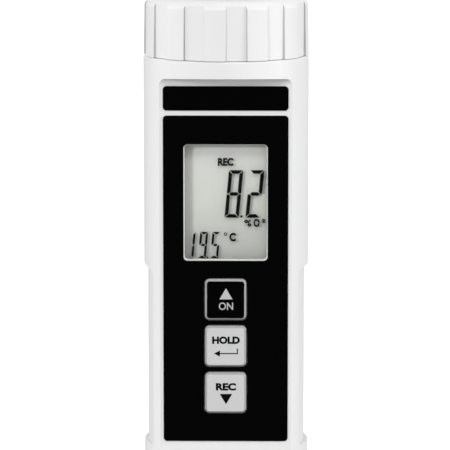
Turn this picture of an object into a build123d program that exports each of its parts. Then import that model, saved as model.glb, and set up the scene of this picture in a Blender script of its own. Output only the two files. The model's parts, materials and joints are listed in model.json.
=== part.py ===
"""A hand-held dissolved oxygen meter: a white moulded tube with a display and three keys on its flat front.

A ribbed battery cap closes its top, and a ribbed probe cover screws on below and is what the meter stands on.
Lengths are millimetres. Z runs up the tube, the front faces -Y, and the origin is the middle of the base.
A reach is a distance from the tube's axis towards the front. The tube is made round its cells and its probe,
so its radius and its three lengths follow from them.
"""

import math
import os

from build123d import *

# Four cells in two columns side by side
cell_radius = 5.2
cell_length = 44.5
cell_nub_radius = 1.9
cell_nub_height = 0.9
cell_side_gap = 0.1
cell_top_drop = 0.55
column_spacing = 11.8
column_distance = 10.1

# The tube that holds the cells, and the contacts at its lower end
cell_tube_wall = 0.8
cell_tube_gap = 0.1
cell_tube_recess = 0.8
cell_tube_flange = 3.0
contact_thickness = 0.3
leaf_height = 4.0
leaf_width = 5.0
leaf_half_length = 3.1
leaf_tip_offset = 1.0
contact_board_thickness = 1.2

# The housing and the neck that its battery cap screws on
neck_wall = 1.4
neck_step = 2.3
neck_height = 10.0
thread_gap = 0.55
tube_wall = 2.0
front_wall = 2.0
shoulder_thickness = 3.0
seam_gap = 0.15
seam_chamfer = 0.35

# The flat front, sunk into the tube with a drafted wall at each end
flat_sink = 7.9
flat_top_margin = 4.0
flat_foot_margin = 5.0
recess_draft = 5.0
recess_fillet = 2.0

# The two finger grips, shallow scallops in the tube's sides
grip_sink = 0.95
grip_angle = 61.0
grip_top_drop = 50.5
grip_length = 44.2
grip_ramp = 1.1
grip_groove_height = 0.5
grip_groove_depth = 0.35

# Ribs shared by the battery cap and the probe cover
rib_count = 12
rib_turn = -97.3
rib_depth = 0.65
rib_length = 12.8
rib_edge_fillet = 0.22
rib_end_slope = 1.2

# The battery cap's crown
cap_shoulder_fillet = 2.7
cap_draft = 0.25
cap_crown = 0.5
cap_rim_width = 4.5
cap_dish_depth = 0.5

# Plates on the flat front, stacked down from its upper end
plate_side_margin = 0.925
plate_thickness = 0.25
plate_corner = 0.9
name_plate_margin = 2.45
name_plate_height = 5.85
plate_gap = 1.2
window_margin = 6.9
key_foot_margin = 7.14

# The window, its lens and the display behind it
window_width = 20.2
window_height = 28.2
window_corner = 1.0
window_draft = 12.0
lens_lap = 1.2
lens_thickness = 0.8
display_side_margin = 1.8
display_end_margin = 1.9
display_thickness = 1.1
frame_wall = 1.0
frame_lip = 0.35
frame_lip_width = 0.9
frame_front_gap = 0.08
strip_height = 2.2

# Keys, each with a flange behind the front wall and a pill that meets the board
key_names = ("on", "hold", "rec")
key_width = 9.9
key_height = 9.9
key_gap = 1.53
key_window_gap = 4.4
key_corner = 1.1
key_bevel = 0.45
key_bevel_depth = 0.75
key_proud = 1.1
key_side_gap = 0.25
key_flange = 0.45
key_flange_thickness = 0.8
key_stem_radius = 2.5
key_pill_thickness = 0.35
key_travel = 0.6
key_contact_gap = 0.05
mat_side_margin = 4.9
mat_thickness = 0.5
mat_hole_margin = 1.0

# The circuit board and what is on it
board_setback = 2.1
board_thickness = 1.0
board_side_gap = 0.6
board_head_gap = 9.0
board_foot_gap = 12.5
processor_size = 10.0
amplifier_size = 5.0
chip_thickness = 1.5

# Screws, and the bosses that take the board's
screw_radius = 0.95
screw_head_radius = 1.8
screw_head_thickness = 1.1
screw_fit = 0.05
screw_clearance = 0.2
board_screw_length = 3.4
probe_screw_length = 6.8
boss_radius = 2.2
boss_side_inset = 2.5
boss_window_gap = 0.9
boss_foot_rise = 4.0

# The contact disc that hangs in the battery cap
disc_side_gap = 0.5
disc_thickness = 1.6
disc_play = 0.1
peg_radius = 1.0
peg_length = 5.0
peg_screw_gap = 0.7
peg_back_offset = 5.6
bridge_width = 5.6
cap_screw_radius = 1.2
cap_screw_head_radius = 2.2
cap_screw_head_thickness = 0.9
cap_screw_grip = 1.8
running_gap = 0.08

# Round seals in the necks
seal_radius = 0.5
seal_proud = 0.25
seal_rise = 1.7

# The probe holder that closes the housing's lower end
holder_plug_height = 10.0
holder_flange_height = 4.0
holder_flange_width = 0.5
fit_gap = 0.1

# The probe
probe_radius = 8.0
probe_slip = 0.05
probe_flange_thickness = 2.0
probe_flange_edge = 0.3
probe_screw_offset = 2.3
probe_screw_count = 3
probe_screw_turn = 90.0
probe_length = 30.0
spigot_step = 1.6
spigot_length = 6.0
electrode_radius = 3.4
electrode_length = 10.0
anode_wall = 0.8
anode_length = 6.0
cathode_radius = 1.5
cathode_length = 0.6
sensor_radius = 2.0
sensor_rise = 7.0
sensor_proud = 0.25
sensor_depth = 2.5

# The membrane head that screws on the probe
head_wall = 1.5
head_floor = 1.2
head_gap = 0.15
head_thread_gap = 0.275
head_thread_runout = 1.0
head_mouth_radius = 2.8
head_flute_count = 16
head_flute_radius = 0.6
head_flute_foot = 2.5
membrane_thickness = 0.2
membrane_lap = 0.8
membrane_gap = 0.05
ring_thickness = 0.8
ring_width = 1.0

# The probe cover, with room under the head so that the head can be unscrewed
cover_floor = 4.0
cover_taper = 1.6
cover_base_fillet = 1.5
probe_room = 12.1
gasket_thickness = 0.6
gasket_width = 1.0

# Wires inside the housing, and the room that they have between the contact board and the probe
wire_room = 19.75
wire_radius = 0.6
wire_bend = 3.0
wire_end_run = 1.0
wire_pitch = 2.2
battery_wire_inset = 5.0
battery_wire_count = 2
probe_wire_count = 3

# How far a cutting shape runs past what it cuts
overshoot = 1.0

# Radii that follow from the cells, outwards
cell_bore = cell_radius + cell_side_gap
column_back = math.sqrt(column_distance**2 - (column_spacing / 2) ** 2)
column_places = [(-column_spacing / 2, column_back), (column_spacing / 2, column_back)]
cell_tube_front = column_back - cell_bore - cell_tube_wall
neck_bore = column_distance + cell_bore + cell_tube_wall + cell_tube_gap
neck_radius = neck_bore + neck_wall
skirt_bore = neck_radius + thread_gap
tube_radius = neck_radius + neck_step
bore_radius = tube_radius - tube_wall
rib_root_radius = tube_radius - rib_depth
rib_width = math.pi * tube_radius / rib_count

# Radii that follow from the probe's
spigot_radius = probe_radius - spigot_step
probe_screw_ring = probe_radius + probe_screw_offset
probe_flange_radius = probe_screw_ring + screw_head_radius + probe_flange_edge
cover_bore = neck_radius - gasket_width

# Reaches and widths of the flat front and of what lies behind it
flat_reach = tube_radius - flat_sink
plate_reach = flat_reach + plate_thickness
plate_width = 2 * (math.sqrt(tube_radius**2 - flat_reach**2) - plate_side_margin)
inner_reach = flat_reach - front_wall
frame_reach = inner_reach - frame_front_gap
display_reach = frame_reach - frame_lip
display_back_reach = display_reach - display_thickness
display_width = window_width + 2 * display_side_margin
display_height = window_height + 2 * display_end_margin
board_front_reach = inner_reach - board_setback
board_back_reach = board_front_reach - board_thickness
board_width = 2 * (math.sqrt(bore_radius**2 - board_front_reach**2) - board_side_gap)
chip_reach = board_back_reach - chip_thickness

# Heights from the base up: the cover round the probe, the probe holder, the cells and the battery cap
membrane_floor = cover_floor + probe_room + head_floor
membrane_top = membrane_floor + membrane_thickness
cathode_bottom = membrane_top + membrane_gap
electrode_bottom = cathode_bottom + cathode_length
spigot_bottom = electrode_bottom + electrode_length
probe_shoulder = spigot_bottom + spigot_length
housing_base = probe_shoulder + probe_length
cover_height = housing_base - seam_gap
holder_neck_base = housing_base - neck_height
holder_top = housing_base + holder_plug_height
flange_top = holder_top + probe_flange_thickness
contact_board_low = flange_top + wire_room
contact_board_top = contact_board_low + contact_board_thickness
cell_bottom = contact_board_top + leaf_height
cell_top = cell_bottom + 2 * cell_length
neck_top = cell_top + cell_top_drop
cap_seam = neck_top - neck_height
cap_base = cap_seam + seam_gap
disc_low = cell_top + contact_thickness
disc_high = disc_low + disc_thickness
cap_ceiling = disc_high + disc_play
cap_screw_end = cap_ceiling + cap_screw_grip
cap_top = cap_screw_end + fit_gap + cap_crown + cap_dish_depth

# Heights on the front, from the cap seam down
cavity_top = cap_seam - shoulder_thickness
flat_top = cap_seam - flat_top_margin
flat_bottom = housing_base + flat_foot_margin
name_plate_top = flat_top - name_plate_margin
panel_top = name_plate_top - name_plate_height - plate_gap
window_top = panel_top - window_margin
window_bottom = window_top - window_height
window_centre = (window_top + window_bottom) / 2
key_pitch = key_height + key_gap
first_key_height = window_bottom - key_window_gap - key_height / 2
key_heights = [first_key_height - key_pitch * index for index in range(len(key_names))]
key_places = [(0, key_centre) for key_centre in key_heights]
panel_bottom = key_heights[-1] - key_height / 2 - key_foot_margin
board_top = cavity_top - board_head_gap
board_bottom = flange_top + board_foot_gap
grip_bottom = cap_seam - grip_top_drop - grip_length

# The board's four screws, as (x, z) places
frame_bottom = window_bottom - display_end_margin - frame_wall
boss_heights = (frame_bottom - boss_window_gap - boss_radius, board_bottom + boss_foot_rise)
boss_offset = board_width / 2 - boss_side_inset
screw_places = [(side * boss_offset, height) for height in boss_heights for side in (-1, 1)]

pieces = {}


def front_slab(width, height, corner, centre, back_reach, front_reach):
    """A flat rounded rectangle that faces the front, between two reaches."""
    with BuildPart() as slab:
        with BuildSketch(Plane.XZ.offset(back_reach)):
            with Locations((0, centre)):
                RectangleRounded(width, height, corner)
        extrude(amount=front_reach - back_reach)
    return slab.part


def key_openings(back_reach, front_reach):
    """What the three keys take out of the front, between two reaches."""
    with BuildPart() as openings:
        with BuildSketch(Plane.XZ.offset(back_reach)):
            with Locations(*key_places):
                RectangleRounded(
                    key_width + 2 * key_side_gap, key_height + 2 * key_side_gap, key_corner + key_side_gap
                )
        extrude(amount=front_reach - back_reach)
    return openings.part


def front_pins(places, radius, back_reach, front_reach):
    """Round pins that point to the front, one at each (x, z) place."""
    with BuildPart() as pins:
        with BuildSketch(Plane.XZ.offset(back_reach)):
            with Locations(*places):
                Circle(radius)
        extrude(amount=front_reach - back_reach)
    return pins.part


def ring(inner_radius, outer_radius, low, high):
    """A plain ring or, with no inner radius, a disc about the tube's axis."""
    with BuildPart() as body:
        with BuildSketch(Plane.XY.offset(low)):
            Circle(outer_radius)
            if inner_radius > 0:
                Circle(inner_radius, mode=Mode.SUBTRACT)
        extrude(amount=high - low)
    return body.part


def seal(middle):
    """A round seal that sits in a groove of a neck and stands a little proud of it."""
    with BuildPart() as body:
        with BuildSketch(Plane.XZ):
            with Locations((neck_radius + seal_proud - seal_radius, middle)):
                Circle(seal_radius)
        revolve(axis=Axis.Z)
    return body.part


def seal_groove(middle):
    """The space that a seal's groove takes out of a neck."""
    depth = 2 * seal_radius - seal_proud + running_gap
    half_width = seal_radius + running_gap
    return ring(neck_radius - depth, neck_radius + overshoot, middle - half_width, middle + half_width)


def grip_slab(sink, height):
    """What one finger grip takes out of the tube's right side, at a sink, from the grips' lower end up."""
    edge_x = tube_radius * math.sin(math.radians(grip_angle))
    edge_y = tube_radius * math.cos(math.radians(grip_angle))
    with BuildPart() as slab:
        with BuildSketch(Plane.XY.offset(grip_bottom)):
            with BuildLine():
                ThreePointArc((edge_x, -edge_y), (tube_radius - sink, 0), (edge_x, edge_y))
                Polyline(
                    (edge_x, edge_y),
                    (tube_radius + overshoot, edge_y),
                    (tube_radius + overshoot, -edge_y),
                    (edge_x, -edge_y),
                )
            make_face()
        extrude(amount=height)
    return slab.part


def is_rib_corner(edge):
    """True for the long outer corners of the ribs."""
    middle = edge.center()
    far_out = math.hypot(middle.X, middle.Y) > (rib_root_radius + tube_radius) / 2
    return far_out and edge.bounding_box().size.Z > rib_length / 2


def ribbed_band(low, high, draft):
    """A disc with ribs round it and rounded rib corners, smaller by the draft at its top."""
    with BuildPart() as band:
        with BuildSketch(Plane.XZ):
            with BuildLine():
                Polyline((0, low), (tube_radius, low), (tube_radius - draft, high), (0, high), close=True)
            make_face()
        revolve(axis=Axis.Z)
        with BuildSketch(Plane.XY.offset(low)):
            Circle(tube_radius + overshoot)
            Circle(rib_root_radius, mode=Mode.SUBTRACT)
            with PolarLocations(tube_radius, rib_count, start_angle=rib_turn):
                Rectangle(2 * (rib_depth + overshoot), rib_width, mode=Mode.SUBTRACT)
        extrude(amount=high - low, mode=Mode.SUBTRACT)
        fillet(band.edges().filter_by(is_rib_corner), radius=rib_edge_fillet)
    return band.part


def back_half(radius, low, high):
    """A D-shaped block: the part of a disc that lies behind the front of the cell tube."""
    with BuildPart() as block:
        with BuildSketch(Plane.XY.offset(low)):
            Circle(radius)
            with Locations((0, cell_tube_front)):
                Rectangle(2 * radius, 2 * radius, align=(Align.CENTER, Align.MAX), mode=Mode.SUBTRACT)
        extrude(amount=high - low)
    return block.part


def flat_disc(radius, gap, low, high):
    """A disc cut off in front by the inner side of the housing's flat wall, with a gap there."""
    with BuildPart() as disc:
        with BuildSketch(Plane.XY.offset(low)):
            Circle(radius)
            with Locations((0, gap - inner_reach)):
                Rectangle(2 * tube_radius, tube_radius, align=(Align.CENTER, Align.MAX), mode=Mode.SUBTRACT)
        extrude(amount=high - low)
    return disc.part


def probe_screw_pins(radius, low, high):
    """Round pins along Z at the places of the screws that hold the probe."""
    with BuildPart() as pins:
        with BuildSketch(Plane.XY.offset(low)):
            with PolarLocations(probe_screw_ring, probe_screw_count, start_angle=probe_screw_turn):
                Circle(radius)
        extrude(amount=high - low)
    return pins.part


# Main housing
with BuildPart() as recess:
    draft_run = flat_sink * math.tan(math.radians(recess_draft))
    with BuildSketch(Plane.YZ):
        with BuildLine():
            Polyline(
                (-tube_radius - overshoot, flat_bottom),
                (-tube_radius, flat_bottom),
                (-flat_reach, flat_bottom + draft_run),
                (-flat_reach, flat_top - draft_run),
                (-tube_radius, flat_top),
                (-tube_radius - overshoot, flat_top),
                close=True,
            )
        make_face()
    extrude(amount=tube_radius + overshoot, both=True)
    feet = recess.edges().filter_by(Axis.X).group_by(Axis.Y)[-1]
    fillet(feet, radius=recess_fillet)

with BuildPart() as grips:
    add(grip_slab(grip_sink, grip_length))
    inner_top = grips.edges().filter_by(GeomType.CIRCLE).sort_by(Axis.Z)[-1]
    chamfer(inner_top, length=grip_ramp)
    add(grip_slab(grip_sink + grip_groove_depth, grip_groove_height))
    mirror(about=Plane.YZ)

with BuildPart() as window_well:
    with BuildSketch(Plane.XZ.offset(flat_reach)):
        with Locations((0, window_centre)):
            RectangleRounded(window_width, window_height, window_corner)
    extrude(amount=-front_wall, taper=window_draft)

with BuildPart() as main_housing:
    with BuildSketch(Plane.XY.offset(housing_base)):
        Circle(tube_radius)
    extrude(amount=cap_seam - housing_base)
    rims = main_housing.edges().filter_by(GeomType.CIRCLE)
    chamfer(rims, length=seam_chamfer)
    with BuildSketch(Plane.XY.offset(cap_seam)):
        Circle(neck_radius)
    extrude(amount=neck_height)
    add(recess.part, mode=Mode.SUBTRACT)
    add(grips.part, mode=Mode.SUBTRACT)
    add(seal_groove(cap_seam + seal_rise), mode=Mode.SUBTRACT)
    add(flat_disc(bore_radius, 0, housing_base, cavity_top), mode=Mode.SUBTRACT)
    add(ring(0, neck_bore, cavity_top - overshoot, neck_top + overshoot), mode=Mode.SUBTRACT)
    flange_seat_radius = bore_radius + holder_flange_width
    flange_seat_top = housing_base + holder_flange_height
    add(ring(0, flange_seat_radius, housing_base - overshoot, flange_seat_top), mode=Mode.SUBTRACT)
    boss_root_reach = inner_reach + front_wall / 2
    add(front_pins(screw_places, boss_radius, board_front_reach, boss_root_reach))
    add(
        front_pins(screw_places, screw_radius + screw_fit, board_front_reach - overshoot, boss_root_reach),
        mode=Mode.SUBTRACT,
    )
    add(key_openings(inner_reach - overshoot, flat_reach + overshoot), mode=Mode.SUBTRACT)
    add(window_well.part, mode=Mode.SUBTRACT)
    add(
        front_slab(
            window_width + 2 * (lens_lap + fit_gap),
            window_height + 2 * (lens_lap + fit_gap),
            window_corner + fit_gap,
            window_centre,
            inner_reach - overshoot,
            inner_reach + lens_thickness,
        ),
        mode=Mode.SUBTRACT,
    )
pieces["main_housing"] = main_housing.part

# Plates on the flat front
name_plate_centre = name_plate_top - name_plate_height / 2
pieces["name_plate"] = front_slab(
    plate_width, name_plate_height, plate_corner, name_plate_centre, flat_reach, plate_reach
)

with BuildPart() as front_panel:
    panel_height = panel_top - panel_bottom
    panel_centre = (panel_top + panel_bottom) / 2
    add(front_slab(plate_width, panel_height, plate_corner, panel_centre, flat_reach, plate_reach))
    add(
        front_slab(window_width, window_height, window_corner, window_centre, flat_reach, plate_reach),
        mode=Mode.SUBTRACT,
    )
    add(key_openings(flat_reach - overshoot, plate_reach + overshoot), mode=Mode.SUBTRACT)
pieces["front_panel"] = front_panel.part

# Display: the lens in the housing's rebate, the glass in its frame, and the two strips that connect it
pieces["window_lens"] = front_slab(
    window_width + 2 * lens_lap,
    window_height + 2 * lens_lap,
    window_corner,
    window_centre,
    inner_reach,
    inner_reach + lens_thickness,
)

with BuildPart() as display_frame:
    add(
        front_slab(
            display_width + 2 * frame_wall,
            display_height + 2 * frame_wall,
            window_corner,
            window_centre,
            board_front_reach,
            frame_reach,
        )
    )
    with BuildSketch(Plane.XZ.offset(board_front_reach)):
        with Locations((0, window_centre)):
            Rectangle(display_width + 2 * fit_gap, display_height + 2 * fit_gap)
    extrude(amount=display_reach - board_front_reach, mode=Mode.SUBTRACT)
    add(
        front_slab(
            display_width - 2 * frame_lip_width,
            display_height - 2 * frame_lip_width,
            window_corner,
            window_centre,
            display_reach - overshoot,
            frame_reach + overshoot,
        ),
        mode=Mode.SUBTRACT,
    )
pieces["display_frame"] = display_frame.part

with BuildPart() as display_glass:
    with BuildSketch(Plane.XZ.offset(display_back_reach)):
        with Locations((0, window_centre)):
            Rectangle(display_width, display_height)
    extrude(amount=display_thickness)
pieces["display_glass"] = display_glass.part

with BuildPart() as contact_strips:
    strip_offset = display_height / 2 - strip_height / 2 - fit_gap
    with BuildSketch(Plane.XZ.offset(board_front_reach)):
        with Locations((0, window_centre - strip_offset), (0, window_centre + strip_offset)):
            Rectangle(display_width - 2 * fit_gap, strip_height)
    extrude(amount=display_back_reach - board_front_reach)
pieces["contact_strips"] = contact_strips.part

# Circuit board, its screws and its parts
with BuildPart() as circuit_board:
    with BuildSketch(Plane.XZ.offset(board_back_reach)):
        with Locations((0, (board_top + board_bottom) / 2)):
            Rectangle(board_width, board_top - board_bottom)
        with Locations(*screw_places):
            Circle(screw_radius + screw_clearance, mode=Mode.SUBTRACT)
    extrude(amount=board_thickness)
pieces["circuit_board"] = circuit_board.part

with BuildPart() as board_screws:
    screw_head_reach = board_back_reach - screw_head_thickness
    add(front_pins(screw_places, screw_head_radius, screw_head_reach, board_back_reach))
    add(front_pins(screw_places, screw_radius, board_back_reach, board_back_reach + board_screw_length))
pieces["board_screws"] = board_screws.part

mat_reach = board_front_reach + mat_thickness
with BuildPart() as keypad_mat:
    add(
        front_slab(
            key_width + 2 * mat_side_margin,
            key_heights[0] - key_heights[-1] + key_height + 2 * key_flange,
            key_corner,
            (key_heights[0] + key_heights[-1]) / 2,
            board_front_reach,
            mat_reach,
        )
    )
    mat_hole_radius = key_stem_radius + mat_hole_margin
    add(
        front_pins(key_places, mat_hole_radius, board_front_reach - overshoot, mat_reach + overshoot),
        mode=Mode.SUBTRACT,
    )
pieces["keypad_mat"] = keypad_mat.part

with BuildPart() as processor_chip:
    with BuildSketch(Plane.XZ.offset(chip_reach)):
        with Locations((0, key_heights[0])):
            Rectangle(processor_size, processor_size)
    extrude(amount=chip_thickness)
pieces["processor_chip"] = processor_chip.part

with BuildPart() as amplifier_chip:
    with BuildSketch(Plane.XZ.offset(chip_reach)):
        with Locations((-processor_size / 2, key_heights[1])):
            Rectangle(amplifier_size, amplifier_size)
    extrude(amount=chip_thickness)
pieces["amplifier_chip"] = amplifier_chip.part

# Keys
flange_back_reach = inner_reach - key_flange_thickness
pill_back_reach = board_front_reach + key_contact_gap + key_travel
pill_front_reach = pill_back_reach + key_pill_thickness
for key_name, key_centre in zip(key_names, key_heights):
    with BuildPart() as key:
        add(front_slab(key_width, key_height, key_corner, key_centre, inner_reach, flat_reach + key_proud))
        key_face = key.faces().sort_by(Axis.Y)[0]
        chamfer(key_face.edges(), length=key_bevel, length2=key_bevel_depth, reference=key_face)
        add(
            front_slab(
                key_width + 2 * key_flange,
                key_height + 2 * key_flange,
                key_corner,
                key_centre,
                flange_back_reach,
                inner_reach,
            )
        )
        add(front_pins([(0, key_centre)], key_stem_radius, pill_front_reach, flange_back_reach))
    pieces[f"key_{key_name}"] = key.part
    pieces[f"contact_pill_{key_name}"] = front_pins(
        [(0, key_centre)], key_stem_radius, pill_back_reach, pill_front_reach
    )

# Cell tube, the four cells in it and the contacts at its lower end
cell_tube_top = cell_top - cell_tube_recess
peg_front = cap_screw_head_radius + peg_screw_gap + peg_radius
peg_places = [(0, peg_front), (0, column_back + peg_back_offset)]
with BuildPart() as cell_tube:
    add(back_half(neck_bore - cell_tube_gap, contact_board_top, cell_tube_top))
    add(back_half(bore_radius - cell_tube_gap, cavity_top - cell_tube_flange, cavity_top))
    add(back_half(bore_radius - cell_tube_gap, contact_board_top, contact_board_top + cell_tube_flange))
    with BuildSketch(Plane.XY.offset(contact_board_top)):
        with Locations(*column_places):
            Circle(cell_bore)
    extrude(amount=cell_tube_top - contact_board_top, mode=Mode.SUBTRACT)
    with BuildSketch(Plane.XY.offset(cell_tube_top)):
        with Locations(*peg_places):
            Circle(peg_radius + cell_tube_gap)
    extrude(amount=-peg_length, mode=Mode.SUBTRACT)
pieces["cell_tube"] = cell_tube.part

cell_number = 0
for column, (column_x, column_y) in enumerate(column_places):
    for row in range(2):
        low = cell_bottom + row * cell_length
        nub_up = column == 0
        nub_low = low + cell_length - cell_nub_height if nub_up else low
        can_low = low if nub_up else low + cell_nub_height
        with BuildPart() as cell:
            with BuildSketch(Plane.XY.offset(can_low)):
                with Locations((column_x, column_y)):
                    Circle(cell_radius)
            extrude(amount=cell_length - cell_nub_height)
            with BuildSketch(Plane.XY.offset(nub_low)):
                with Locations((column_x, column_y)):
                    Circle(cell_nub_radius)
            extrude(amount=cell_nub_height)
        cell_number += 1
        pieces[f"cell_{cell_number}"] = cell.part

pieces["contact_board"] = back_half(bore_radius - cell_tube_gap, contact_board_low, contact_board_top)

with BuildPart() as leaf_contacts:
    leaf_low = contact_board_top + contact_thickness / 2
    leaf_high = cell_bottom - contact_thickness / 2
    for column_x, column_y in column_places:
        with BuildSketch(Plane.XZ.offset(-column_y - leaf_width / 2)):
            with BuildLine():
                Polyline(
                    (column_x - leaf_half_length, leaf_low),
                    (column_x + leaf_half_length, leaf_low),
                    (column_x - leaf_tip_offset, leaf_high),
                    (column_x + leaf_half_length, leaf_high),
                )
            trace(line_width=contact_thickness)
        extrude(amount=leaf_width)
pieces["leaf_contacts"] = leaf_contacts.part

# Contact disc, its bridge and its screw, which hang in the battery cap
with BuildPart() as contact_disc:
    add(ring(cap_screw_radius + running_gap, neck_bore - disc_side_gap, disc_low, disc_high))
    with BuildSketch(Plane.XY.offset(disc_low)):
        with Locations(*peg_places):
            Circle(peg_radius)
    extrude(amount=-peg_length)
pieces["contact_disc"] = contact_disc.part

with BuildPart() as contact_bridge:
    with BuildSketch(Plane.XY.offset(cell_top)):
        with Locations((0, column_back)):
            SlotCenterToCenter(column_spacing, bridge_width)
    extrude(amount=contact_thickness)
pieces["contact_bridge"] = contact_bridge.part

with BuildPart() as cap_screw:
    head_high = disc_low - running_gap
    add(ring(0, cap_screw_head_radius, head_high - cap_screw_head_thickness, head_high))
    add(ring(0, cap_screw_radius, head_high, cap_screw_end))
pieces["cap_screw"] = cap_screw.part

# Battery cap
with BuildPart() as cap_shoulder:
    shoulder_low = cap_top - cap_shoulder_fillet
    shoulder_inner = tube_radius - cap_draft - cap_shoulder_fillet
    shoulder_outer = tube_radius - cap_draft / 2
    bulge = cap_shoulder_fillet * math.sin(math.radians(45))
    with BuildSketch(Plane.XZ):
        with BuildLine():
            ThreePointArc(
                (shoulder_outer, shoulder_low),
                (shoulder_inner + bulge, shoulder_low + bulge),
                (shoulder_inner, cap_top),
            )
            Polyline(
                (shoulder_inner, cap_top),
                (shoulder_inner, cap_top + overshoot),
                (tube_radius + overshoot, cap_top + overshoot),
                (tube_radius + overshoot, shoulder_low),
                (shoulder_outer, shoulder_low),
            )
        make_face()
    revolve(axis=Axis.Z)

with BuildPart() as battery_cap:
    add(ribbed_band(cap_base, cap_top, cap_draft))
    add(cap_shoulder.part, mode=Mode.SUBTRACT)
    dish_radius = tube_radius - cap_rim_width
    add(ring(0, dish_radius, cap_top - cap_dish_depth, cap_top + overshoot), mode=Mode.SUBTRACT)
    add(ring(0, skirt_bore, cap_base - overshoot, neck_top + seam_gap), mode=Mode.SUBTRACT)
    add(ring(0, neck_bore, neck_top, cap_ceiling), mode=Mode.SUBTRACT)
    add(ring(0, cap_screw_radius + screw_fit, neck_top, cap_screw_end + fit_gap), mode=Mode.SUBTRACT)
pieces["battery_cap"] = battery_cap.part
pieces["cap_seal"] = seal(cap_seam + seal_rise)

# Probe holder, which closes the housing's lower end and carries the neck for the probe cover
with BuildPart() as probe_holder:
    add(flat_disc(bore_radius - fit_gap, fit_gap, housing_base, holder_top))
    add(ring(0, flange_seat_radius - fit_gap, housing_base, flange_seat_top))
    add(ring(0, neck_radius, holder_neck_base, housing_base))
    add(seal_groove(housing_base - seal_rise), mode=Mode.SUBTRACT)
    add(
        ring(0, probe_radius + probe_slip, holder_neck_base - overshoot, holder_top + overshoot),
        mode=Mode.SUBTRACT,
    )
    screw_hole_low = holder_top - probe_screw_length
    add(probe_screw_pins(screw_radius + screw_fit, screw_hole_low, holder_top), mode=Mode.SUBTRACT)
pieces["probe_holder"] = probe_holder.part
pieces["cover_seal"] = seal(housing_base - seal_rise)

# Probe: its body, the two electrodes, the temperature button and the screws through its flange
sensor_places = [(0, probe_shoulder + sensor_rise)]
sensor_back_reach = probe_radius - sensor_depth
with BuildPart() as probe_body:
    add(flat_disc(probe_flange_radius, fit_gap, holder_top, flange_top))
    add(ring(0, probe_radius, probe_shoulder, holder_top))
    add(ring(0, spigot_radius, spigot_bottom, probe_shoulder))
    add(ring(0, electrode_radius, electrode_bottom, spigot_bottom))
    add(probe_screw_pins(screw_radius + screw_clearance, holder_top, flange_top), mode=Mode.SUBTRACT)
    add(
        front_pins(sensor_places, sensor_radius, sensor_back_reach, probe_radius + overshoot),
        mode=Mode.SUBTRACT,
    )
pieces["probe_body"] = probe_body.part

with BuildPart() as probe_screws:
    add(probe_screw_pins(screw_head_radius, flange_top, flange_top + screw_head_thickness))
    add(probe_screw_pins(screw_radius, flange_top - probe_screw_length, flange_top))
pieces["probe_screws"] = probe_screws.part

anode_bore = electrode_radius + screw_fit
anode_low = spigot_bottom - anode_length
pieces["anode_sleeve"] = ring(anode_bore, anode_bore + anode_wall, anode_low, spigot_bottom)
pieces["cathode_tip"] = ring(0, cathode_radius, cathode_bottom, electrode_bottom)
pieces["temperature_sensor"] = front_pins(
    sensor_places, sensor_radius - screw_fit, sensor_back_reach, probe_radius + sensor_proud
)

# Membrane head, with its membrane and its sealing ring
head_bottom = membrane_floor - head_floor
head_top = probe_shoulder - head_gap
head_seat = head_top - ring_thickness - membrane_gap
head_bore_base = spigot_bottom - head_thread_runout
ring_bore = spigot_radius + fit_gap
membrane_radius = head_mouth_radius + membrane_lap
with BuildPart() as membrane_head:
    add(ring(0, probe_radius, head_bottom, head_top))
    add(ring(0, spigot_radius + head_thread_gap, head_bore_base, head_top + overshoot), mode=Mode.SUBTRACT)
    add(ring(0, probe_radius - head_wall, membrane_top, head_bore_base), mode=Mode.SUBTRACT)
    add(ring(0, membrane_radius + fit_gap, membrane_floor, membrane_top + overshoot), mode=Mode.SUBTRACT)
    add(ring(0, head_mouth_radius, head_bottom - overshoot, membrane_top), mode=Mode.SUBTRACT)
    add(ring(0, ring_bore + ring_width + fit_gap, head_seat, head_top + overshoot), mode=Mode.SUBTRACT)
    with BuildSketch(Plane.XY.offset(head_bottom + head_flute_foot)):
        with PolarLocations(probe_radius + head_flute_radius / 2, head_flute_count):
            Circle(head_flute_radius)
    extrude(amount=head_seat - head_flute_foot - head_bottom, mode=Mode.SUBTRACT)
pieces["membrane_head"] = membrane_head.part
pieces["membrane"] = ring(0, membrane_radius, membrane_floor, membrane_top)
pieces["head_ring"] = ring(ring_bore, ring_bore + ring_width, head_seat, head_seat + ring_thickness)

# Probe cover and the flat gasket inside it
rib_base = cover_height - rib_length
gasket_top = holder_neck_base - seam_gap
gasket_seat = gasket_top - gasket_thickness
with BuildPart() as rib_ends:
    with BuildSketch(Plane.XZ):
        with BuildLine():
            Polyline(
                (rib_root_radius, rib_base),
                (tube_radius + rib_depth, rib_base + 2 * rib_end_slope),
                (tube_radius + rib_depth, rib_base),
                close=True,
            )
        make_face()
    revolve(axis=Axis.Z)

with BuildPart() as probe_cover:
    add(ribbed_band(rib_base, cover_height, 0))
    add(rib_ends.part, mode=Mode.SUBTRACT)
    with BuildSketch(Plane.XZ):
        with BuildLine():
            Polyline(
                (0, 0), (tube_radius - cover_taper, 0), (rib_root_radius, rib_base), (0, rib_base), close=True
            )
        make_face()
    revolve(axis=Axis.Z)
    base_rim = probe_cover.edges().filter_by(GeomType.CIRCLE).sort_by(Axis.Z)[0]
    fillet(base_rim, radius=cover_base_fillet)
    add(ring(0, skirt_bore, gasket_seat, cover_height + overshoot), mode=Mode.SUBTRACT)
    add(ring(0, cover_bore, cover_floor, gasket_seat), mode=Mode.SUBTRACT)
pieces["probe_cover"] = probe_cover.part
pieces["cover_gasket"] = ring(cover_bore, neck_radius, gasket_seat, gasket_top)


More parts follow.
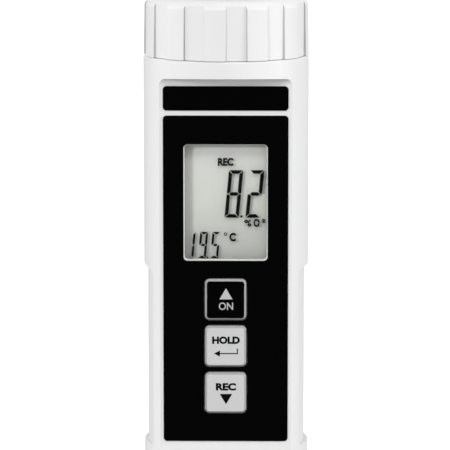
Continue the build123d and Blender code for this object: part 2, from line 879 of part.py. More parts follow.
def wires(count, start_height, turn_height, back):
    """Wires side by side that run along Z, bend once and run forward to the back of the circuit board."""
    with BuildPart() as bundle:
        for index in range(count):
            wire_x = (index - (count - 1) / 2) * wire_pitch
            start = (wire_x, back, start_height)
            corner = (wire_x, back, turn_height)
            end = (wire_x, -board_back_reach, turn_height)
            with BuildLine() as route:
                FilletPolyline(start, corner, end, radius=wire_bend)
            with BuildSketch(Plane(origin=start, z_dir=route.line % 0)):
                Circle(wire_radius)
            sweep(path=route.line)
    return bundle.part


# Wires from the contact board and from the probe
pieces["battery_wires"] = wires(
    battery_wire_count,
    contact_board_low,
    contact_board_low - wire_bend - wire_end_run,
    cell_tube_front + battery_wire_inset,
)
pieces["probe_wires"] = wires(probe_wire_count, flange_top, board_bottom + wire_end_run, 0)

os.makedirs("parts", exist_ok=True)
for piece_name, piece in pieces.items():
    piece.label = piece_name
    export_step(piece, f"parts/{piece_name}.step")
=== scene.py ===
import json
import math

import bmesh
import bpy
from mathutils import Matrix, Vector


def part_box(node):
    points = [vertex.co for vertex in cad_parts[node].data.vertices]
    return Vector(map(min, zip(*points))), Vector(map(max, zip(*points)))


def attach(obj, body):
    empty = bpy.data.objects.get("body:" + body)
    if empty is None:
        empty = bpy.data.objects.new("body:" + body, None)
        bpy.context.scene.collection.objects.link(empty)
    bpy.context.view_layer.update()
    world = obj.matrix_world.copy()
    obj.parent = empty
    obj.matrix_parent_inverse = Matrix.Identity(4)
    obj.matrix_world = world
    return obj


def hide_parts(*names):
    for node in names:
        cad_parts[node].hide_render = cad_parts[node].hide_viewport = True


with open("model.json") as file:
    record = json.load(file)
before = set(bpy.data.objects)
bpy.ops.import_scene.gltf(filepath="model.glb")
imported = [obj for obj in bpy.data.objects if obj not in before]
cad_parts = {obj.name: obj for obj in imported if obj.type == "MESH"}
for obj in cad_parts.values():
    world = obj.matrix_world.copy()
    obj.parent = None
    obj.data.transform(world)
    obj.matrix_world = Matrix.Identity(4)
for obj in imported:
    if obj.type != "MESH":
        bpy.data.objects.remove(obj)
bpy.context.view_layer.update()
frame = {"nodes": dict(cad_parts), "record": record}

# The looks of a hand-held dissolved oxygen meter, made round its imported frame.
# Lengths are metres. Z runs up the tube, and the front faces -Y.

MM = 0.001

# Camera, at the photograph's viewing angle
CAMERA_PLACE = (7.18 * MM, -711.7 * MM, 247.8 * MM)
CAMERA_PITCH = 8.7
CAMERA_YAW = 0.6
CAMERA_LENS = 236.0
CAMERA_SENSOR = 36.0

# Light: an even surround and four soft lights, each with a strength, an azimuth (minus is from the left), an
# elevation and a spread in degrees. For the camera alone the surround is white and the floor glows, so both
# look white but light the meter little.
SURROUND = 0.52
SEEN_SURROUND = 1.0
FLOOR_SIZE = 24.0
FLOOR_GLOW = 0.75
SOFT_LIGHTS = (
    ("top_light", 0.56, 4.0, 44.0, 16.0),
    ("left_light", 0.92, -31.0, 15.0, 9.0),
    ("left_side_light", 0.75, -95.0, 10.0, 30.0),
    ("right_side_light", 1.48, 80.0, 12.0, 30.0),
)

# Surfaces: the drift of roughness, the depth of the fine grain, and where painted shade darkens a slope or a
# rib's wall
ROUGHNESS_DRIFT = 0.08
GRAIN_DEPTH = 0.05 * MM
SLOPE_SHADE_START = -0.98
SLOPE_SHADE_END = -0.88
RIB_WALL_FACING = 0.3
RIB_FACE_FACING = 0.85
KEY_GREY = (0.63, 0.63, 0.63)
# Painted shade: the darker grey of the keys' sloping edges, standing in for the shade the black panel gives
# them
KEY_BEVEL_SHADE = (0.46, 0.46, 0.46)
HOUSING_WHITE = (0.87, 0.87, 0.87)
RIB_FACE_WHITE = (0.86, 0.86, 0.86)
# Painted shade: the darker grey of the ribs' walls, standing in for the shade in the grooves
RIB_WALL_SHADE = (0.50, 0.50, 0.50)

# Printed symbols and display segments are thin sheets on the face that carries them
PRINT_THICKNESS = 0.02 * MM

# Screw threads: two ridges on each neck, with this lead and this height over the neck
NECK_LEAD = 4.0 * MM
NECK_RIDGE_HEIGHT = 0.4 * MM
NECK_RIDGE_WIDTH = 0.95 * MM
SPIGOT_LEAD = 1.5 * MM
SPIGOT_RIDGE_HEIGHT = 0.2 * MM
SPIGOT_RIDGE_WIDTH = 0.75 * MM
THREAD_STEPS = 72
THREAD_LEAST_STEPS = 8
THREAD_FADE = 12
THREAD_CREST_SHARE = 0.4
THREAD_ROOT_SINK = 0.05 * MM
NECK_RADIUS = 17.7 * MM
NECK_END = 0.9 * MM
THREAD_SEAL_GAP = 0.9 * MM
SPIGOT_RADIUS = 6.4 * MM
SPIGOT_LENGTH = 6.0 * MM


def finish_material(name, colour, roughness, grain=0.0, grain_scale=900.0, shade=0.0, shade_scale=60.0,
                    metallic=0.0, sheen=0.0, specular=0.5, alpha=1.0):
    """A principled material with a faint drift in its colour and a fine grain in its surface."""
    made = bpy.data.materials.new(name)
    made.use_nodes = True
    nodes = made.node_tree.nodes
    links = made.node_tree.links
    shader = nodes["Principled BSDF"]
    shader.inputs["Metallic"].default_value = metallic
    shader.inputs["Sheen Weight"].default_value = sheen
    shader.inputs["Specular IOR Level"].default_value = specular
    shader.inputs["Alpha"].default_value = alpha

    place = nodes.new("ShaderNodeTexCoord")
    drift = nodes.new("ShaderNodeTexNoise")
    drift.inputs["Scale"].default_value = shade_scale
    drift.inputs["Detail"].default_value = 3.0
    links.new(place.outputs["Object"], drift.inputs["Vector"])
    ramp = nodes.new("ShaderNodeMix")
    ramp.data_type = "RGBA"
    ramp.inputs["A"].default_value = (*[max(channel * (1 - shade), 0.0) for channel in colour], 1)
    ramp.inputs["B"].default_value = (*[min(channel * (1 + shade), 1.0) for channel in colour], 1)
    links.new(drift.outputs["Fac"], ramp.inputs["Factor"])
    links.new(ramp.outputs["Result"], shader.inputs["Base Color"])

    rough = nodes.new("ShaderNodeMapRange")
    rough.inputs["To Min"].default_value = roughness * (1 - ROUGHNESS_DRIFT)
    rough.inputs["To Max"].default_value = roughness * (1 + ROUGHNESS_DRIFT)
    links.new(drift.outputs["Fac"], rough.inputs["Value"])
    links.new(rough.outputs["Result"], shader.inputs["Roughness"])

    if grain > 0:
        speck = nodes.new("ShaderNodeTexNoise")
        speck.inputs["Scale"].default_value = grain_scale
        speck.inputs["Detail"].default_value = 4.0
        links.new(place.outputs["Object"], speck.inputs["Vector"])
        bump = nodes.new("ShaderNodeBump")
        bump.inputs["Strength"].default_value = grain
        bump.inputs["Distance"].default_value = GRAIN_DEPTH
        links.new(speck.outputs["Fac"], bump.inputs["Height"])
        links.new(bump.outputs["Normal"], shader.inputs["Normal"])
    return made


def add_bands(made, axis, low, high, colours):
    """Recolours a material in bands along one axis of the object, from a low to a high place."""
    nodes = made.node_tree.nodes
    links = made.node_tree.links
    place = nodes.new("ShaderNodeTexCoord")
    split = nodes.new("ShaderNodeSeparateXYZ")
    links.new(place.outputs["Object"], split.inputs["Vector"])
    share = nodes.new("ShaderNodeMapRange")
    share.inputs["From Min"].default_value = low
    share.inputs["From Max"].default_value = high
    links.new(split.outputs[axis], share.inputs["Value"])
    ramp = nodes.new("ShaderNodeValToRGB")
    ramp.color_ramp.elements[0].position = colours[0][0]
    ramp.color_ramp.elements[0].color = (*colours[0][1], 1)
    ramp.color_ramp.elements[1].position = colours[-1][0]
    ramp.color_ramp.elements[1].color = (*colours[-1][1], 1)
    for position, colour in colours[1:-1]:
        stop = ramp.color_ramp.elements.new(position)
        stop.color = (*colour, 1)
    links.new(share.outputs["Result"], ramp.inputs["Fac"])
    links.new(ramp.outputs["Color"], nodes["Principled BSDF"].inputs["Base Color"])


def paint_slope_shade(made, flat_colour, slope_shade_colour):
    """Recolours a material so that what faces the front keeps its own colour and what slopes away gets a
    painted shade colour.
    """
    nodes = made.node_tree.nodes
    links = made.node_tree.links
    place = nodes.new("ShaderNodeTexCoord")
    split = nodes.new("ShaderNodeSeparateXYZ")
    links.new(place.outputs["Normal"], split.inputs["Vector"])
    share = nodes.new("ShaderNodeMapRange")
    share.inputs["From Min"].default_value = SLOPE_SHADE_START
    share.inputs["From Max"].default_value = SLOPE_SHADE_END
    links.new(split.outputs["Y"], share.inputs["Value"])
    ramp = nodes.new("ShaderNodeMix")
    ramp.data_type = "RGBA"
    ramp.inputs["A"].default_value = (*flat_colour, 1)
    ramp.inputs["B"].default_value = (*slope_shade_colour, 1)
    links.new(share.outputs["Result"], ramp.inputs["Factor"])
    links.new(ramp.outputs["Result"], nodes["Principled BSDF"].inputs["Base Color"])


def paint_rib_wall_shade(made, face_colour, wall_shade_colour):
    """Recolours a material with painted shade: walls that face neither outwards nor up are darker, as the
    shade in a groove.
    """
    nodes = made.node_tree.nodes
    links = made.node_tree.links
    place = nodes.new("ShaderNodeTexCoord")
    level_place = nodes.new("ShaderNodeVectorMath")
    level_place.operation = "MULTIPLY"
    level_place.inputs[1].default_value = (1, 1, 0)
    links.new(place.outputs["Object"], level_place.inputs[0])
    outwards = nodes.new("ShaderNodeVectorMath")
    outwards.operation = "NORMALIZE"
    links.new(level_place.outputs["Vector"], outwards.inputs[0])
    facing = nodes.new("ShaderNodeVectorMath")
    facing.operation = "DOT_PRODUCT"
    links.new(outwards.outputs["Vector"], facing.inputs[0])
    links.new(place.outputs["Normal"], facing.inputs[1])
    split = nodes.new("ShaderNodeSeparateXYZ")
    links.new(place.outputs["Normal"], split.inputs["Vector"])
    sizes = []
    for socket in (facing.outputs["Value"], split.outputs["Z"]):
        size = nodes.new("ShaderNodeMath")
        size.operation = "ABSOLUTE"
        links.new(socket, size.inputs[0])
        sizes.append(size.outputs["Value"])
    total = nodes.new("ShaderNodeMath")
    total.operation = "ADD"
    links.new(sizes[0], total.inputs[0])
    links.new(sizes[1], total.inputs[1])
    share = nodes.new("ShaderNodeMapRange")
    share.inputs["From Min"].default_value = RIB_WALL_FACING
    share.inputs["From Max"].default_value = RIB_FACE_FACING
    links.new(total.outputs["Value"], share.inputs["Value"])
    ramp = nodes.new("ShaderNodeMix")
    ramp.data_type = "RGBA"
    ramp.inputs["A"].default_value = (*wall_shade_colour, 1)
    ramp.inputs["B"].default_value = (*face_colour, 1)
    links.new(share.outputs["Result"], ramp.inputs["Factor"])
    links.new(ramp.outputs["Result"], nodes["Principled BSDF"].inputs["Base Color"])


MATERIALS = {
    "white_housing": finish_material("white_housing", HOUSING_WHITE, 0.42, grain=0.10, shade=0.006),
    "black_plate": finish_material("black_plate", (0.0009, 0.0009, 0.001), 0.3, grain=0.03, shade=0.25,
                                   specular=0.02),
    "clear_lens": finish_material("clear_lens", (0.02, 0.022, 0.02), 0.05, grain=0.02, shade=0.1,
                                  specular=1.0, alpha=0.025),
    "display_glass": finish_material("display_glass", (0.66, 0.68, 0.62), 0.5, grain=0.04, shade=0.01),
    "circuit_board": finish_material("circuit_board", (0.02, 0.16, 0.07), 0.35, grain=0.12, grain_scale=500,
                                     shade=0.12),
    "key_rubber": finish_material("key_rubber", KEY_GREY, 0.55, grain=0.14, grain_scale=1400,
                                  shade=0.012, sheen=0.05),
    "black_rubber": finish_material("black_rubber", (0.014, 0.014, 0.015), 0.6, grain=0.2, shade=0.15),
    "black_plastic": finish_material("black_plastic", (0.02, 0.02, 0.021), 0.45, grain=0.12, shade=0.1),
    "grey_plastic": finish_material("grey_plastic", (0.28, 0.29, 0.30), 0.45, grain=0.12, shade=0.03),
    "cell_can": finish_material("cell_can", (0.62, 0.62, 0.63), 0.3, grain=0.03, shade=0.03, metallic=0.85),
    "contact_metal": finish_material("contact_metal", (0.72, 0.66, 0.5), 0.28, grain=0.06, shade=0.05,
                                     metallic=1.0),
    "steel": finish_material("steel", (0.6, 0.6, 0.61), 0.28, grain=0.08, grain_scale=2000, shade=0.04,
                             metallic=1.0),
    "silver": finish_material("silver", (0.82, 0.81, 0.79), 0.3, grain=0.06, shade=0.05, metallic=1.0),
    "gold": finish_material("gold", (0.87, 0.62, 0.25), 0.22, grain=0.03, shade=0.03, metallic=1.0),
    "membrane_film": finish_material("membrane_film", (0.8, 0.82, 0.84), 0.12, grain=0.03, shade=0.02,
                                     alpha=0.55),
    "wire_sleeve": finish_material("wire_sleeve", (0.45, 0.04, 0.03), 0.4, grain=0.08, shade=0.06),
}
# Painted shade on the keys' sloping edges, darker where the face turns away from the front
paint_slope_shade(MATERIALS["key_rubber"], KEY_GREY, KEY_BEVEL_SHADE)
# The caps' white with painted shade on the rib walls, standing in for the shade between the ribs
rib_shaded_white = finish_material("rib_shaded_white", HOUSING_WHITE, 0.42, grain=0.10, shade=0.006)
paint_rib_wall_shade(rib_shaded_white, RIB_FACE_WHITE, RIB_WALL_SHADE)
key_print = finish_material("key_print", (0.0015, 0.0015, 0.0015), 0.5, grain=0.05, shade=0.1, specular=0.06)
light_print = finish_material("light_print", (0.52, 0.52, 0.52), 0.5, grain=0.05, shade=0.02)
segment_ink = finish_material("segment_ink", (0.0015, 0.0015, 0.002), 0.5, grain=0.02, shade=0.1,
                              specular=0.05)
reflector = finish_material("reflector", (0.80, 0.82, 0.76), 0.6, grain=0.03, shade=0.01, specular=0.2)


def dress(node_name, made):
    """Gives a CAD node its material."""
    piece = frame["nodes"][node_name]
    if not piece.data.materials:
        piece.data.materials.append(made)
    for index in range(len(piece.data.materials)):
        piece.data.materials[index] = made


for subpart in frame["record"]["subparts"]:
    dress(subpart["node"], MATERIALS[subpart["material_slot"]])
for ribbed_node in ("battery_cap", "probe_cover"):
    dress(ribbed_node, rib_shaded_white)


def new_piece(name, shape, body, made):
    """A new mesh piece from a bmesh, which rides on a body and has a material."""
    mesh = bpy.data.meshes.new(name)
    bmesh.ops.recalc_face_normals(shape, faces=shape.faces)
    shape.to_mesh(mesh)
    shape.free()
    mesh.materials.append(made)
    piece = bpy.data.objects.new(name, mesh)
    bpy.context.scene.collection.objects.link(piece)
    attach(piece, body)
    return piece


def add_sheet(shape, outline, back_reach, thickness):
    """Adds a flat closed outline of (x, z) points to a bmesh as a thin sheet that faces the front."""
    back = [shape.verts.new((x, -back_reach, z)) for x, z in outline]
    front = [shape.verts.new((x, -back_reach - thickness, z)) for x, z in outline]
    shape.faces.new(back)
    shape.faces.new(list(reversed(front)))
    for index in range(len(outline)):
        after = (index + 1) % len(outline)
        shape.faces.new((back[index], front[index], front[after], back[after]))


def rounded_outline(centre_x, centre_z, width, height, corner, steps=6):
    """The (x, z) outline of a rounded rectangle."""
    outline = []
    for turn, (side_x, side_z) in enumerate(((1, 1), (-1, 1), (-1, -1), (1, -1))):
        middle_x = centre_x + side_x * (width / 2 - corner)
        middle_z = centre_z + side_z * (height / 2 - corner)
        for step in range(steps + 1):
            angle = math.radians(90 * turn + 90 * step / steps)
            outline.append((middle_x + corner * math.cos(angle), middle_z + corner * math.sin(angle)))
    return outline


def add_ring(shape, centre_x, centre_z, radius, stroke, back_reach, thickness, steps=20):
    """Adds a small circle, drawn with a stroke, to a bmesh as a thin sheet that faces the front."""
    corners = []
    for step in range(steps):
        angle = 2 * math.pi * step / steps
        for r in (radius, radius - stroke):
            x = centre_x + r * math.cos(angle)
            z = centre_z + r * math.sin(angle)
            corners.append(shape.verts.new((x, -back_reach, z)))
            corners.append(shape.verts.new((x, -back_reach - thickness, z)))
    for step in range(steps):
        here = corners[4 * step:4 * step + 4]
        after = (step + 1) % steps
        there = corners[4 * after:4 * after + 4]
        for first, second in ((0, 1), (1, 3), (3, 2), (2, 0)):
            shape.faces.new((here[first], here[second], there[second], there[first]))


def add_text(shape, words, centre_x, centre_z, height, width, boldness, back_reach, thickness):
    """Adds words to a bmesh as a thin sheet that faces the front, stretched to a height and a width."""
    curve = bpy.data.curves.new("words", "FONT")
    curve.body = words
    curve.size = height
    curve.offset = boldness
    curve.resolution_u = 4
    curve.extrude = thickness / 2
    writer = bpy.data.objects.new("words", curve)
    bpy.context.scene.collection.objects.link(writer)
    bpy.context.view_layer.update()
    mesh = bpy.data.meshes.new_from_object(writer)
    xs = [vertex.co.x for vertex in mesh.vertices]
    ys = [vertex.co.y for vertex in mesh.vertices]
    stretch_x = width / (max(xs) - min(xs))
    stretch_z = height / (max(ys) - min(ys))
    middle_x = (max(xs) + min(xs)) / 2
    middle_y = (max(ys) + min(ys)) / 2
    for vertex in mesh.vertices:
        x = centre_x + (vertex.co.x - middle_x) * stretch_x
        z = centre_z + (vertex.co.y - middle_y) * stretch_z
        depth = thickness / 2 + vertex.co.z
        vertex.co = (x, -back_reach - depth, z)
    shape.from_mesh(mesh)
    bpy.data.objects.remove(writer)
    bpy.data.curves.remove(curve)
    bpy.data.meshes.remove(mesh)


# Camera
camera = bpy.data.objects.new("camera", bpy.data.cameras.new("camera"))
camera.location = CAMERA_PLACE
camera.rotation_euler = (math.radians(90 - CAMERA_PITCH), 0, math.radians(CAMERA_YAW))
camera.data.lens = CAMERA_LENS
camera.data.sensor_width = CAMERA_SENSOR
camera.data.sensor_fit = "HORIZONTAL"
bpy.context.scene.collection.objects.link(camera)
bpy.context.scene.camera = camera

# Light
scene = bpy.context.scene
scene.view_settings.view_transform = "Standard"
scene.view_settings.look = "None"
world = bpy.data.worlds.new("surround")
world.use_nodes = True
scene.world = world
surround = world.node_tree.nodes["Background"]
surround.inputs["Color"].default_value = (1, 1, 1, 1)
world_seen = world.node_tree.nodes.new("ShaderNodeLightPath")
world_strength = world.node_tree.nodes.new("ShaderNodeMapRange")
world_strength.inputs["To Min"].default_value = SURROUND
world_strength.inputs["To Max"].default_value = SEEN_SURROUND
world.node_tree.links.new(world_seen.outputs["Is Camera Ray"], world_strength.inputs["Value"])
world.node_tree.links.new(world_strength.outputs["Result"], surround.inputs["Strength"])

for light_name, strength, azimuth, elevation, spread in SOFT_LIGHTS:
    light = bpy.data.objects.new(light_name, bpy.data.lights.new(light_name, "SUN"))
    light.data.energy = strength
    light.data.angle = math.radians(spread)
    light.rotation_euler = (math.radians(90 - elevation), 0, math.radians(azimuth))
    scene.collection.objects.link(light)

# Floor, a wide white sheet
floor_mesh = bmesh.new()
bmesh.ops.create_grid(floor_mesh, x_segments=2, y_segments=2, size=FLOOR_SIZE / 2)
floor_data = bpy.data.meshes.new("floor")
floor_mesh.to_mesh(floor_data)
floor_mesh.free()
floor = bpy.data.objects.new("floor", floor_data)
scene.collection.objects.link(floor)
floor_paper = finish_material("floor_paper", (0.5, 0.5, 0.5), 0.8, grain=0.02, grain_scale=300, shade=0.004)
floor_nodes = floor_paper.node_tree.nodes
floor_shader = floor_nodes["Principled BSDF"]
floor_shader.inputs["Emission Color"].default_value = (1, 1, 1, 1)
floor_seen = floor_nodes.new("ShaderNodeLightPath")
floor_glow = floor_nodes.new("ShaderNodeMath")
floor_glow.operation = "MULTIPLY"
floor_glow.inputs[1].default_value = FLOOR_GLOW
floor_paper.node_tree.links.new(floor_seen.outputs["Is Camera Ray"], floor_glow.inputs[0])
floor_paper.node_tree.links.new(floor_glow.outputs["Value"], floor_shader.inputs["Emission Strength"])
floor_data.materials.append(floor_paper)

# Display: a grey-green reflector at the back of the glass, the segments at its front, and clear glass between
glass_low, glass_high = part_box("display_glass")
window_low, window_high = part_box("window_lens")
window_middle = (window_low.z + window_high.z) / 2
glass_back = -glass_high.y
glass_front = -glass_low.y
REFLECTOR_THICKNESS = 0.08 * MM
GLASS_FRONT_THICKNESS = 0.5 * MM
# Painted sheen: the reflector is coloured lighter towards the top, standing in for the reflection across the
# display
REFLECTOR_SHEEN_BANDS = [
    (0.0, (0.62, 0.64, 0.60)), (0.5, (0.86, 0.89, 0.82)), (1.0, (0.96, 0.97, 0.93)),
]

glass_corners = [
    (glass_low.x, glass_low.z), (glass_high.x, glass_low.z),
    (glass_high.x, glass_high.z), (glass_low.x, glass_high.z),
]
reflector_shape = bmesh.new()
add_sheet(reflector_shape, glass_corners, glass_back, REFLECTOR_THICKNESS)
reflector_piece = new_piece("display_reflector", reflector_shape, "housing", reflector)
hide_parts("display_glass")
# The painted sheen bands, from dark at the bottom of the glass to light at its top
add_bands(reflector, "Z", glass_low.z, glass_high.z, REFLECTOR_SHEEN_BANDS)

glass_shape = bmesh.new()
add_sheet(glass_shape, glass_corners, glass_front - GLASS_FRONT_THICKNESS, GLASS_FRONT_THICKNESS)
new_piece("display_front_glass", glass_shape, "housing", MATERIALS["clear_lens"])


def add_digit(shape, lit, left, low, width, height, stroke, gap, reach):
    """Adds the lit segments of one digit: a top, b and c right, d low, e and f left, g middle."""
    slant = math.tan(math.radians(SEGMENT_SLANT))
    half = height / 2
    outlines = {
        "a": [(gap, height), (width - gap, height), (width - gap - stroke, height - stroke),
              (gap + stroke, height - stroke)],
        "b": [(width, height - gap), (width, half + gap), (width - stroke / 2, half + gap / 2),
              (width - stroke, half + stroke / 2 + gap), (width - stroke, height - stroke - gap)],
        "c": [(width, half - gap), (width, gap), (width - stroke, stroke + gap),
              (width - stroke, half - stroke / 2 - gap), (width - stroke / 2, half - gap / 2)],
        "d": [(gap + stroke, stroke), (width - gap - stroke, stroke), (width - gap, 0), (gap, 0)],
        "e": [(0, half - gap), (0, gap), (stroke, stroke + gap), (stroke, half - stroke / 2 - gap),
              (stroke / 2, half - gap / 2)],
        "f": [(0, height - gap), (0, half + gap), (stroke / 2, half + gap / 2),
              (stroke, half + stroke / 2 + gap), (stroke, height - stroke - gap)],
        "g": [(stroke / 2 + gap, half), (stroke + gap, half + stroke / 2),
              (width - stroke - gap, half + stroke / 2), (width - stroke / 2 - gap, half),
              (width - stroke - gap, half - stroke / 2), (stroke + gap, half - stroke / 2)],
    }
    for name in lit:
        outline = [(left + x + z * slant, low + z) for x, z in outlines[name]]
        add_sheet(shape, outline, reach, PRINT_THICKNESS)


# Display readings: a large one with its unit, and a small one for the temperature. Places are millimetres
# from the window's middle. A digit has its lit segments and its left side, a dot its place and size, and a
# word its place, height, width and boldness.
ink_reach = glass_front - 2 * PRINT_THICKNESS
LARGE_DIGITS = (("abcdefg", -0.30), ("abged", 4.74))
LARGE_LOW = -3.98
LARGE_HEIGHT = 11.51
LARGE_WIDTH = 3.45
LARGE_STROKE = 0.85
SMALL_DIGITS = (("bc", -9.75), ("abcdfg", -6.75), ("acdfg", -3.80))
SMALL_LOW = -13.88
SMALL_HEIGHT = 6.42
SMALL_WIDTH = 1.95
SMALL_STROKE = 0.56
SEGMENT_GAP = 0.13
SEGMENT_SLANT = 5.4
DOT_SIZE = 0.55
DOT_CORNER_SHARE = 0.2
DOTS = ((3.77, -3.70, DOT_SIZE), (-4.44, -13.70, 0.7 * DOT_SIZE))
DEGREE_PLACE = (-0.05, -8.0)
DEGREE_RADIUS = 0.42
DEGREE_STROKE = 0.22
DISPLAY_WORDS = (
    ("REC", -0.02, 9.53, 1.95, 3.75, 0.10),
    ("%", 5.30, -5.35, 1.75, 1.75, 0.07),
    ("O", 7.45, -5.28, 2.00, 1.50, 0.10),
    ("2", 9.10, -4.75, 0.95, 0.80, 0.08),
    ("C", 1.66, -8.75, 2.10, 1.55, 0.11),
)

segments = bmesh.new()
for lit, left in LARGE_DIGITS:
    add_digit(segments, lit, left * MM, window_middle + LARGE_LOW * MM, LARGE_WIDTH * MM, LARGE_HEIGHT * MM,
              LARGE_STROKE * MM, SEGMENT_GAP * MM, ink_reach)
for lit, left in SMALL_DIGITS:
    add_digit(segments, lit, left * MM, window_middle + SMALL_LOW * MM, SMALL_WIDTH * MM, SMALL_HEIGHT * MM,
              SMALL_STROKE * MM, SEGMENT_GAP * MM, ink_reach)
for dot_x, dot_z, dot_size in DOTS:
    dot = rounded_outline(dot_x * MM, window_middle + dot_z * MM, dot_size * MM, dot_size * MM,
                          DOT_CORNER_SHARE * dot_size * MM)
    add_sheet(segments, dot, ink_reach, PRINT_THICKNESS)
degree_x, degree_z = DEGREE_PLACE
add_ring(segments, degree_x * MM, window_middle + degree_z * MM, DEGREE_RADIUS * MM, DEGREE_STROKE * MM,
         ink_reach, PRINT_THICKNESS)
for words, x, z, height, width, boldness in DISPLAY_WORDS:
    add_text(segments, words, x * MM, window_middle + z * MM, height * MM, width * MM, boldness * MM,
             ink_reach, PRINT_THICKNESS)
new_piece("display_segments", segments, "housing", segment_ink)


def key_middle(node_name):
    """The middle of a key's face, as (x, reach, z)."""
    low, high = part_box(node_name)
    return (low.x + high.x) / 2, -low.y, (low.z + high.z) / 2


def arrow_head(x, tip_z, root_z, half_width):
    """The outline of a triangle that points up or down."""
    half_root = math.copysign(half_width, tip_z - root_z)
    return [(x, tip_z), (x - half_root, root_z), (x + half_root, root_z)]


def add_key_word(shape, word, x, key_z, reach):
    """Adds a key's word to a bmesh, at its place and size on the key's face."""
    z, height, width, boldness = KEY_WORDS[word]
    add_text(shape, word, x, key_z + z * MM, height * MM, width * MM, boldness * MM, reach, PRINT_THICKNESS)


# Symbols on the keys, each riding on its key. A word has its place over the key's middle, its letters'
# height, its width and its boldness in millimetres, and an arrow has its tip, root and half width.
KEY_FACE_SIZE = 9.0 * MM
KEY_FACE_CORNER = 0.65 * MM
SYMBOL_SHIFT = 0.1 * MM
KEY_WORDS = {
    "ON": (-1.55, 1.83, 3.45, 0.02),
    "HOLD": (1.55, 1.84, 6.67, 0.10),
    "REC": (1.52, 1.85, 4.88, 0.10),
}
UP_TIP, UP_ROOT, UP_HALF_WIDTH = 2.82 * MM, 0.12 * MM, 1.58 * MM
DOWN_TIP, DOWN_ROOT, DOWN_HALF_WIDTH = -2.78 * MM, -0.24 * MM, 1.5 * MM
RETURN_MIDDLE = -1.73 * MM
RETURN_TIP = -2.8 * MM
RETURN_ROOT = -1.35 * MM
RETURN_BEND = 2.97 * MM
RETURN_RISE = 1.25 * MM
RETURN_LINE = 0.26 * MM
RETURN_HALF_HEAD = 0.75 * MM

on_x, on_reach, on_z = key_middle("key_on")
on_face = bmesh.new()
on_outline = rounded_outline(on_x, on_z, KEY_FACE_SIZE, KEY_FACE_SIZE, KEY_FACE_CORNER)
add_sheet(on_face, on_outline, on_reach, PRINT_THICKNESS)
new_piece("on_key_face", on_face, "on_key", MATERIALS["black_plate"])
on_symbols = bmesh.new()
symbol_x = on_x + SYMBOL_SHIFT
symbol_reach = on_reach + PRINT_THICKNESS
up_arrow = arrow_head(symbol_x, on_z + UP_TIP, on_z + UP_ROOT, UP_HALF_WIDTH)
add_sheet(on_symbols, up_arrow, symbol_reach, PRINT_THICKNESS)
add_key_word(on_symbols, "ON", symbol_x, on_z, symbol_reach)
new_piece("on_key_symbols", on_symbols, "on_key", light_print)

hold_x, hold_reach, hold_z = key_middle("key_hold")
hold_symbols = bmesh.new()
add_key_word(hold_symbols, "HOLD", hold_x + SYMBOL_SHIFT, hold_z, hold_reach)
return_z = hold_z + RETURN_MIDDLE
root_x = hold_x + RETURN_ROOT
bend_x = hold_x + RETURN_BEND
rise_z = return_z + RETURN_RISE
half_line = RETURN_LINE / 2
return_head = [
    (hold_x + RETURN_TIP, return_z), (root_x, return_z + RETURN_HALF_HEAD),
    (root_x, return_z - RETURN_HALF_HEAD),
]
return_line = [
    (root_x, return_z - half_line), (bend_x, return_z - half_line), (bend_x, rise_z),
    (bend_x - RETURN_LINE, rise_z), (bend_x - RETURN_LINE, return_z + half_line),
    (root_x, return_z + half_line),
]
add_sheet(hold_symbols, return_head, hold_reach, PRINT_THICKNESS)
add_sheet(hold_symbols, return_line, hold_reach, PRINT_THICKNESS)
new_piece("hold_key_symbols", hold_symbols, "hold_key", key_print)

rec_x, rec_reach, rec_z = key_middle("key_rec")
rec_symbols = bmesh.new()
down_x = rec_x + SYMBOL_SHIFT
add_key_word(rec_symbols, "REC", down_x, rec_z, rec_reach)
down_arrow = arrow_head(down_x, rec_z + DOWN_TIP, rec_z + DOWN_ROOT, DOWN_HALF_WIDTH)
add_sheet(rec_symbols, down_arrow, rec_reach, PRINT_THICKNESS)
new_piece("rec_key_symbols", rec_symbols, "rec_key", key_print)


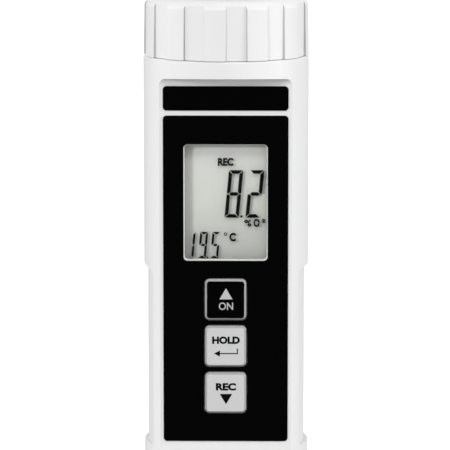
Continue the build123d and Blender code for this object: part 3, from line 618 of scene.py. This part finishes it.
def add_thread(shape, radius, height, width, lead, low, high, start_angle):
    """Adds one helical ridge to a bmesh, round Z, between two heights, fading out at both ends."""
    turns = (high - low) / lead
    steps = max(int(THREAD_STEPS * turns), THREAD_LEAST_STEPS)
    rows = []
    for step in range(steps + 1):
        share = step / steps
        angle = start_angle + 2 * math.pi * turns * share
        z = low + (high - low) * share
        fade = min(1.0, THREAD_FADE * share, THREAD_FADE * (1 - share))
        crest = radius + height * fade
        root = radius - THREAD_ROOT_SINK
        half_crest = width * THREAD_CREST_SHARE / 2
        profile = ((root, -width / 2), (crest, -half_crest), (crest, half_crest), (root, width / 2))
        rows.append([
            shape.verts.new((r * math.cos(angle), r * math.sin(angle), z + dz)) for r, dz in profile
        ])
    for before, after in zip(rows, rows[1:]):
        for index in range(4):
            beside = (index + 1) % 4
            shape.faces.new((before[index], before[beside], after[beside], after[index]))
    shape.faces.new(rows[0])
    shape.faces.new(list(reversed(rows[-1])))


# Threads on the housing's neck, the probe holder's neck and the probe's spigot
housing_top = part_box("main_housing")[1].z
holder_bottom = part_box("probe_holder")[0].z
cap_seal_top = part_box("cap_seal")[1].z
cover_seal_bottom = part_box("cover_seal")[0].z
ring_low, ring_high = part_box("head_ring")

neck_threads = bmesh.new()
for start in range(2):
    add_thread(neck_threads, NECK_RADIUS, NECK_RIDGE_HEIGHT, NECK_RIDGE_WIDTH, NECK_LEAD,
               cap_seal_top + THREAD_SEAL_GAP, housing_top - NECK_END, math.pi * start)
new_piece("neck_threads", neck_threads, "housing", MATERIALS["white_housing"])

holder_threads = bmesh.new()
for start in range(2):
    add_thread(holder_threads, NECK_RADIUS, NECK_RIDGE_HEIGHT, NECK_RIDGE_WIDTH, NECK_LEAD,
               holder_bottom + NECK_END, cover_seal_bottom - THREAD_SEAL_GAP, math.pi * start)
new_piece("holder_threads", holder_threads, "housing", MATERIALS["grey_plastic"])

spigot_threads = bmesh.new()
add_thread(spigot_threads, SPIGOT_RADIUS, SPIGOT_RIDGE_HEIGHT, SPIGOT_RIDGE_WIDTH, SPIGOT_LEAD,
           ring_high.z - SPIGOT_LENGTH + NECK_END, ring_low.z - NECK_END / 2, 0)
new_piece("spigot_threads", spigot_threads, "housing", MATERIALS["black_plastic"])
